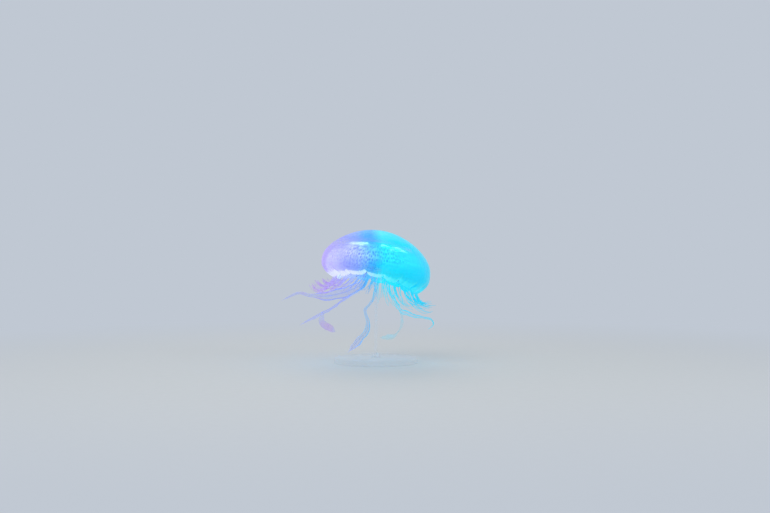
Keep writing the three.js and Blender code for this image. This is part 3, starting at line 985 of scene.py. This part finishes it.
class JELLY_OT_mouth(bpy.types.Operator):
    """Makes the stomach, and the stalk down to the four-cornered mouth, with the socket for the rod"""

    bl_idname = "jelly.mouth"
    bl_label = "Stomach and mouth"

    # The socket's size, the stalk's gap to the roof, and the stomach's gap to it, which is also how thin
    # the stomach is at its edge.
    SOCKET = 0.0045
    SOCKET_DEPTH = 0.0148
    STALK_GAP = 0.0005
    STOMACH_GAP = 0.0004
    STALK_SIDES, PLEATS = 96, 24
    STOMACH_SIDES, STOMACH_RINGS = 160, 22

    def stalk(self, neck, bell):
        # Radius, height and how four-cornered, from the roof down.
        roof = bell.roof(0.030)
        levels = [(r, bell.roof(r) - self.STALK_GAP, 0) for r in (0.012, 0.022, 0.030)]
        levels += [(0.0285, roof - 0.005, 0), (0.0245, roof - 0.0100, 0)]
        levels += [(0.0205, 0.078, 0.1), (0.0180, 0.072, 0.25), (neck, 0.064, 0.5)]
        levels += [(neck - 0.0005, 0.057, 0.8), (neck - 0.001, 0.051, 1), (neck - 0.0022, 0.046, 1)]
        levels += [(0.0115, 0.0425, 0.9), (0.0085, 0.0418, 0.6)]
        rings = []
        for radius, level, cross in levels:
            ring = []
            for angle in turns(self.STALK_SIDES):
                pleat = 0.018 * sin(self.PLEATS * angle + 40 * level)
                r = radius * (1 + cross * 0.16 * cos(4 * (angle - ARMS_FROM)) + pleat)
                ring.append(bell.world(r * cos(angle), r * sin(angle), level))
            rings.append(ring)
        mouth = sum(p.z for p in rings[-1]) / self.STALK_SIDES
        for up in (0.0006, 0.004, 0.009, self.SOCKET_DEPTH):
            rings.append(circle(self.SOCKET, mouth + up, self.STALK_SIDES))
        top = bell.world(0, 0, bell.roof(0) - self.STALK_GAP)
        return shell(rings, top, Vector((0, 0, mouth + self.SOCKET_DEPTH)))

    def stomach(self, bell):
        """A thin four-lobed floor that hangs under the gonads."""
        thin = self.STOMACH_GAP
        rings = []
        for side in (1, -1):
            for part in steps(0.1, 1, self.STOMACH_RINGS)[::side][side < 0 :]:
                sag = thin + 0.0135 * (1 - part**3) * ease(0, 0.3, part) + 0.0012 * (1 - part)
                drop = thin if side > 0 else thin + sag
                ring = []
                for angle in turns(self.STOMACH_SIDES):
                    lobe = 0.060 + 0.017 * abs(cos(2 * (angle - GONADS_FROM))) ** 1.5
                    out = lobe * part
                    ring.append(bell.world(out * cos(angle), out * sin(angle), bell.roof(out) - drop))
                rings.append(ring)
        top, low = (sum(ring, Vector()) / len(ring) for ring in (rings[0], rings[-1]))
        return shell(rings, top, low)

    def execute(self, context):
        jelly = context.scene.jelly
        bell = BellShape(jelly.bell)
        flesh = organ("stalk_flesh", jelly.colours, 0.40, 0.62, 0.36)
        finished(made("stalk", self.stalk(jelly.arms.neck, bell), flesh), "manubrium", "manubrium")
        pouch = organ("stomach_wall", jelly.colours, 0.50, 0.36, 0.40, 90)
        finished(made("stomach", self.stomach(bell), pouch), "manubrium")
        return {"FINISHED"}


# Arms. A course, widths and the midrib's thickness are in millimetres, and heights are over the floor.
# Widths stand at even shares of the course, and "wide" is the direction of the ribbon's width at its root
# and at its tip. An arm has its corner of the mouth, and a veil trails from an arm.

ARMS = {
    "oral_arm_back": {
        "corner": 0,
        "course": [
            (-26.6, 17, 178), (-49.3, 24, 158), (-72, 27, 144.5), (-103.9, 26, 121.7),
            (-138, 21, 104), (-174.3, 14, 84.2),
        ],
        "widths": [8, 10, 8.5, 8, 7, 2.5],
        "wide": [(0.15, 1, 0.2), (0.2, 0.5, 0.8)],
        "rib": 4.5,
    },
    "oral_arm_left": {
        "corner": 1,
        "course": [
            (-31.1, 2, 180.8), (-58.4, -2, 165), (-85.7, -5, 156), (-115.2, -8, 151.5),
            (-147, -10, 153), (-169.8, -11, 158.4), (-188, -12, 154), (-215.2, -14, 140.5),
        ],
        "widths": [8, 15, 21, 25, 20, 7, 5, 2.4],
        "wide": [(0.1, 0.1, 1), (0.1, 0.1, 1)],
        "rib": 3.5,
    },
    "oral_arm_front": {
        "corner": 2,
        "course": [
            (-3.9, -19, 155.8), (-14, -24, 134), (-24.8, -26, 120.6), (-18.5, -27, 96.7),
            (-21.5, -28, 73), (-36.8, -28, 56), (-63, -27, 25),
        ],
        "widths": [8, 6, 5, 5, 6, 12, 17, 6],
        "wide": [(0.95, 0.3, 0.2), (0.95, 0.3, 0.2)],
        "rib": 3.5,
    },
    "oral_arm_right": {
        "corner": 3,
        "course": [
            (21.1, -4, 178.5), (38.9, -5, 146.7), (53.6, -6, 120.3), (70, -6, 111), (88.9, -6, 105),
            (111, -6, 101.4), (126, -7, 97), (129.5, -8, 86), (118.4, -9, 76.3),
        ],
        "widths": [8, 7, 6, 7, 10, 14, 8, 5, 3],
        "wide": [(0.2, 0.25, 1), (0.3, 1, 0.35)],
        "rib": 3.5,
    },
    "oral_arm_back_lip": {
        "course": [(-121, 23, 112), (-125, 17, 94), (-116, 16, 83), (-104, 15, 75), (-92, 14, 68.5)],
        "widths": [5, 12, 17, 16, 7],
        "wide": [(0.6, 0.35, 0.7), (0.6, 0.35, 0.7)],
        "rib": 2.0,
    },
    "oral_arm_right_lip": {
        "course": [(56, -6, 119), (58.5, 2, 104), (58, 7, 89), (52, 12, 72), (36, 17, 59), (8, 20, 55)],
        "widths": [5, 8, 9, 13, 14, 5],
        "wide": [(0.6, 0.35, 0.7), (0.6, 0.35, 0.7)],
        "rib": 2.0,
    },
}
ARM_ROOT_RADIUS = 0.011
ARM_ROOT_LEVEL = 0.054


class JELLY_OT_arms(bpy.types.Operator):
    """Makes the four long arms of the mouth, ribbons with frilled lips, and their two trailing veils"""

    bl_idname = "jelly.arms"
    bl_label = "Arms"

    # Points across one face of a ribbon, less one, and the distance between its rings.
    COLUMNS = 26
    STEP = 0.0014

    def ribbon(self, settings, bell, arm, order):
        """The ribbon's shape, and how far across it each of its points is, from -1 to 1. A veil has
        neither midrib nor lips, so all of it counts as half-way."""
        course = [Vector(p) / 1000 for p in arm["course"]]
        if "corner" in arm:
            angle, out = ARMS_FROM + arm["corner"] * QUARTER, ARM_ROOT_RADIUS
            course.insert(0, bell.world(out * cos(angle), out * sin(angle), ARM_ROOT_LEVEL))
        course = Course(course)
        ruffles = course.length / settings.frill_length
        first, last = (Vector(w).normalized() for w in arm["wide"])
        shares = steps(-1, 1, self.COLUMNS)
        rings, across = [], []
        for part in steps(0, 1, round(course.length / self.STEP)):
            along = course.along(part)
            wide = first.lerp(last, part)
            wide = (wide - along * wide.dot(along)).normalized()
            facing = along.cross(wide)
            half = evenly(arm["widths"], part) / 2000 * max(0.05, 1 - ease(0.90, 1, part) ** 2)
            free = ease(0.02, 0.16, part)
            rib = max(arm["rib"] / 2000 * (1 - 0.6 * part), settings.lip / 2)
            upper, lower = [], []
            for u in shares:
                edge = abs(u)
                phase = tau * ruffles * part + order * 2.1 + (1.7 if u > 0 else 0)
                wave = sin(phase + 0.8 * sin(phase * 0.37)) + 0.45 * sin(phase * 2.3 + 1)
                ruffle = settings.frill * free * edge**2.2 * wave * min(1, half / 0.005)
                gutter = 0.35 * half * edge**2 * free
                out = half * u * (1 + 0.10 * free * sin(phase * 0.61 + u) * edge)
                thick = mixed(settings.lip / 2, rib, (1 - edge) ** 2.5) * mixed(1, 0.35, ease(0.9, 1, part))
                thick = thick * max(0, 1 - edge**8) ** 0.5 + 0.0001
                spot = course.at(part) + wide * out + facing * (ruffle + gutter)
                upper.append(spot + facing * thick)
                lower.append(spot - facing * thick)
            rings.append(upper + lower[::-1])
            edged = shares if "corner" in arm else [0.5] * len(shares)
            across += edged + edged[::-1]
        return shell(rings), across

    def execute(self, context):
        jelly = context.scene.jelly
        bell = BellShape(jelly.bell)
        material = ribbon_gel(jelly.colours)
        for order, (name, arm) in enumerate(ARMS.items()):
            shape, across = self.ribbon(jelly.arms, bell, arm, order)
            piece = made(f"{name}_ribbon", shape, material, across=across)
            nodes = [f"{name}_{part}" for part in ("upper", "middle", "tip")] if "corner" in arm else [name]
            finished(piece, "oral_arm", *nodes)
        return {"FINISHED"}


# Fringe. How a tentacle hangs by where its root is across the bell, from -1 at -X to 1 at +X: its length,
# its slant from straight down at its root and at its tip, in degrees towards +X, and the share of its
# fellows that are grown.

HANG = [
    (-1.00, 0.072, -15, -165, 0.7),
    (-0.62, 0.084, -32, -140, 0.7),
    (-0.42, 0.050, -38, -52, 0.9),
    (-0.15, 0.043, -30, -26, 0.8),
    (0.10, 0.058, -8, 6, 0.7),
    (0.30, 0.070, 0, 28, 0.6),
    (0.60, 0.086, 0, 84, 0.5),
    (1.00, 0.068, 12, 100, 0.45),
]
# The length of a tentacle at the back as a share of its length by the table, how far the fringe spreads to
# the front and back, and the steps of one tentacle.
BACK_SHARE = 0.72
FLARE = 0.28
TENTACLE_STEPS = 15


def tentacle(bell, angle, bunch, rng, settings):
    """The points of one tentacle with its girth. A bunch is how far its own bunch departs from the rest."""
    side = cos(angle)
    even = mixed(0.35, 1, ease(-0.75, -0.45, side))
    reach = keyed(side, HANG, 1) * (1 - (1 - BACK_SHARE) * max(0, sin(angle)))
    reach *= rng.uniform(0.60, 1.10) * (1 + 0.16 * bunch)
    root_slant = keyed(side, HANG, 2) + (rng.uniform(-5, 5) + 9 * bunch) * even
    tip_slant = keyed(side, HANG, 3) + (rng.uniform(-14, 14) + 26 * bunch) * even
    flare = FLARE * sin(angle) + rng.uniform(-0.10, 0.10)
    margin = bell.sizes.margin_radius - bell.sizes.margin_wall / 2
    spot = bell.place(angle, margin + rng.uniform(-0.0008, 0.0008), 0.0006)
    count = TENTACLE_STEPS
    chain = []
    for i in range(count + 1):
        part = i / count
        girth = mixed(settings.root_width, settings.tip_width, part**0.6)
        chain.append((spot.copy(), girth * (1 + 0.10 * (i % 2)), part))
        slant = radians(mixed(root_slant, tip_slant, ((i + 0.5) / count) ** 1.5))
        spot += Vector((sin(slant), flare, -cos(slant))).normalized() * reach / count
    return chain


class JELLY_OT_fringe(bpy.types.Operator):
    """Makes the tentacles round the margin, swept off as the bell closes"""

    bl_idname = "jelly.fringe"
    bl_label = "Fringe"

    # Strips along each side of the texture.
    CELLS = 16

    def lay_out(self, mesh):
        """Gives each strand its own strip of the texture."""
        keys = ("strand", "down", "round")
        strand, down, around = ([v.value for v in mesh.attributes[key].data] for key in keys)
        strip = mesh.uv_layers.new(name="OFBake")
        pad = 0.08 / self.CELLS
        span = 1 / self.CELLS - 2 * pad
        for face in mesh.polygons:
            corners = face.vertices[:]
            wraps = len(corners) == 4 and max(around[v] for v in corners) > 0.7
            for loop, v in zip(face.loop_indices, corners):
                row, column = divmod(round(strand[v]), self.CELLS)
                turn = 1.0 if wraps and around[v] < 0.1 else around[v]
                corner = Vector((column, row)) / self.CELLS + Vector((pad, pad))
                strip.data[loop].uv = corner + Vector((turn, down[v])) * span

    def execute(self, context):
        jelly = context.scene.jelly
        bell = BellShape(jelly.bell)
        fringe = jelly.fringe
        rng = random.Random(fringe.seed)
        chains = []
        for i in range(fringe.count):
            middle = i + rng.uniform(-0.25, 0.25)
            bunch = rng.uniform(-1, 1)
            for _ in range(fringe.bunch):
                angle = tau * (middle + rng.uniform(-0.32, 0.32)) / fringe.count
                if bell.off_notch(angle) > 0.10 and rng.random() < keyed(cos(angle), HANG, 4):
                    chains.append(tentacle(bell, angle, bunch, rng, fringe))
        sizes = {"wander": fringe.wander, "wander_length": fringe.wander_length, "seed": float(fringe.seed)}
        piece = strands("fringe", chains, strand_gel(jelly.colours), **sizes)
        self.lay_out(piece.data)
        finished(piece, "margin")
        return {"FINISHED"}


class JELLY_OT_sense_organs(bpy.types.Operator):
    """Makes the eight stalked sense organs, each in its notch under a small hood"""

    bl_idname = "jelly.sense_organs"
    bl_label = "Sense organs"

    # Millimetres down from the margin, and the girth there.
    BODY = [
        (0.0, 0.5), (0.9, 0.62), (1.8, 0.55), (2.8, 0.72),
        (3.8, 0.95), (4.8, 1.0), (5.6, 0.72), (6.0, 0.3),
    ]
    HOOD = [(0.2, 0.25), (0.8, 0.7), (1.6, 0.8), (2.4, 0.5), (2.9, 0.15)]
    HOOD_OUT = 0.0012

    def hung(self, root, profile):
        """A chain of points that hangs straight down, with how far down the organ each is."""
        organ_length = self.BODY[-1][0]
        return [(root - Vector((0, 0, drop / 1000)), girth, drop / organ_length) for drop, girth in profile]

    def execute(self, context):
        jelly = context.scene.jelly
        bell = BellShape(jelly.bell)
        margin = jelly.bell.margin_radius - jelly.bell.margin_wall / 2
        chains = []
        for k in range(LAPPETS):
            for profile, out in ((self.BODY, 0), (self.HOOD, self.HOOD_OUT)):
                root = bell.place(GONADS_FROM + k * LAPPET_ANGLE, margin + out, 0)
                chains.append(self.hung(root, profile))
        width = jelly.organs.sense_organ
        piece = strands("sense_organs", chains, sense_organ_tissue(jelly.colours), width=width, sides=10)
        finished(piece, "sense_organ", *(f"rhopalium_{k + 1}" for k in range(LAPPETS)))
        return {"FINISHED"}


# Stand.


def lathed(profile, sides, hollow=False):
    """A closed solid turned about +Z from radius and height."""
    return shell([circle(radius, level, sides) for radius, level in profile], hollow=hollow)


def rounded(radius, level, bevel, quarter):
    """Corners of a rounded edge: quarter 0 from the side to the top, and 3 from below to the side."""
    arc = steps(quarter * pi / 2, (quarter + 1) * pi / 2, 5)
    return [(radius - bevel + bevel * cos(a), level + bevel * sin(a)) for a in arc]


def upright(radius, foot, top, low, high):
    """The side of a round post between its edges, which are rounded by low and high."""
    return [*rounded(radius, foot + low, low, 3), *rounded(radius, top - high, high, 0)]


class JELLY_OT_stand(bpy.types.Operator):
    """Makes the display stand of clear acrylic: a round base, a collar and the rod into the mouth"""

    bl_idname = "jelly.stand"
    bl_label = "Stand"

    # The rounding of the upper edges, the rod's play in the collar, and the middle of the base, which is
    # closed by two small caps.
    BEVEL = 0.002
    PLAY = 0.00035
    HUB = 0.001

    def execute(self, context):
        base, collar, rod = (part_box(f"stand_{part}") for part in ("base", "collar", "rod"))
        sheet, polished = acrylic("acrylic_sheet", 0.14), acrylic("acrylic_rod", 0.14)
        radius, top = base[1][0], base[1][2]
        side = upright(radius, 0, top, 0.0012, self.BEVEL)
        plate = lathed([(self.HUB, 0), *side, (self.HUB, top)], 160)
        finished(made("base", plate, sheet), "clear_acrylic", "stand_base")
        thick, low, high = rod[1][0], collar[0][2], collar[1][2]
        bore, radius = thick + self.PLAY, collar[1][0]
        ring = [(bore, low), (radius, low), *rounded(radius, high - self.BEVEL, self.BEVEL, 0)]
        ring += [(bore + 0.0005, high), (bore, high - 0.0005)]
        finished(made("collar", lathed(ring, 64, hollow=True), sheet), "clear_acrylic", "stand_collar")
        post = lathed(upright(thick, rod[0][2], rod[1][2], 0.0004, 0.001), 48)
        finished(made("rod", post, polished), "clear_acrylic", "stand_rod")
        return {"FINISHED"}


# Stage.


class JELLY_OT_stage(bpy.types.Operator):
    """Sets the pale floor, the soft studio lights and the camera"""

    bl_idname = "jelly.stage"
    bl_label = "Stage"

    # Each light's name, place, width and power in watts, and the point that all of them are turned to.
    LIGHTS = [
        ("key", (-0.9, -1.5, 1.9), 1.8, 11),
        ("fill", (1.6, -1.2, 0.9), 1.4, 5),
        ("back", (-0.3, 1.6, 1.9), 1.6, 7),
    ]
    LIT = (0, 0, 0.22)
    CAMERA = (0.0207, -2.431, 0.2411)

    def floor(self, paint):
        """A floor just under the stand, which turns into the backdrop with distance."""
        level = -0.0004
        material, n = new_material("floor")
        x, y, _ = n.split(n.body())
        away = (x * x + y * y).math("SQRT")
        tint = n.mix(n.noise(n.body(), 60, 4), (0.70, 0.70, 0.67), (0.74, 0.74, 0.71))
        near = n.term("ShaderNodeBsdfPrincipled", {}, {"Base Color": tint, "Roughness": 0.75})
        far = n.term("ShaderNodeEmission", {}, {"Color": (*paint, 1), "Strength": 1.0})
        blend = n.term("ShaderNodeMixShader", {}, {0: away.between(0.3, 1.7), 1: near, 2: far})
        n.add("ShaderNodeOutputMaterial", {}, {"Surface": blend})
        made("floor", lathed([(6, -0.01), (6, level), (2, level), (0.6, level)], 96), material)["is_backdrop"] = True

    def light(self, name, place, spread, power):
        lamp = bpy.data.lights.new(name, "AREA")
        lamp.shape, lamp.size, lamp.energy = "DISK", spread, power
        piece = link(bpy.data.objects.new(name, lamp))
        piece.location = place
        piece.rotation_euler = (Vector(self.LIT) - Vector(place)).to_track_quat("-Z", "Y").to_euler()

    def execute(self, context):
        paint = context.scene.jelly.colours.floor
        self.floor(paint)
        world = bpy.data.worlds.new("studio")
        world.use_nodes = True
        world.node_tree.nodes["Background"].inputs["Color"].default_value = (*paint, 1)
        context.scene.world = world
        for light in self.LIGHTS:
            self.light(*light)
        context.scene.view_settings.view_transform = "Standard"
        context.scene.cycles.transparent_max_bounces = 64
        view = bpy.data.cameras.new("camera")
        view.lens, view.sensor_width = 50, 36
        camera = link(bpy.data.objects.new("camera", view))
        camera.location = self.CAMERA
        camera.rotation_euler = (radians(90), 0, 0)
        context.scene.camera = camera
        return {"FINISHED"}


class JELLY_PT_panel(bpy.types.Panel):
    """The jelly's steps and settings"""

    bl_label = "Moon Jelly"
    bl_space_type = "VIEW_3D"
    bl_region_type = "UI"
    bl_category = "Moon Jelly"

    def draw(self, context):
        for operator in OPERATORS:
            self.layout.operator(operator.bl_idname)
        for title in ("bell", "fringe", "organs", "arms", "colours"):
            group = getattr(context.scene.jelly, title)
            self.layout.label(text=title.capitalize())
            for name in names_in(group):
                self.layout.prop(group, name)


SETTINGS = [BellSettings, FringeSettings, OrganSettings, ArmSettings, ColourSettings, JellySettings]
OPERATORS = [
    JELLY_OT_bell,
    JELLY_OT_canals,
    JELLY_OT_gonads,
    JELLY_OT_mouth,
    JELLY_OT_arms,
    JELLY_OT_fringe,
    JELLY_OT_sense_organs,
    JELLY_OT_stand,
    JELLY_OT_stage,
]
CLASSES = [*SETTINGS, *OPERATORS, JELLY_PT_panel]


def register():
    for kind in CLASSES:
        bpy.utils.register_class(kind)
    bpy.types.Scene.jelly = PointerProperty(
        type=JellySettings, name="Jelly", description="The jelly's settings"
    )


def unregister():
    del bpy.types.Scene.jelly
    for kind in reversed(CLASSES):
        bpy.utils.unregister_class(kind)


def plain(box):
    return [[round(float(value), 5) for value in corner] for corner in box]


def main():
    register()
    bpy.ops.jelly.bell()
    bpy.ops.jelly.canals()
    bpy.ops.jelly.gonads()
    bpy.ops.jelly.mouth()
    bpy.ops.jelly.arms()
    bpy.ops.jelly.fringe()
    bpy.ops.jelly.sense_organs()
    bpy.ops.jelly.stand()
    bpy.ops.jelly.stage()
    {"cad": plain(CAD_BOX), "visual": plain(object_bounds())}


if __name__ == "__main__":
    main()
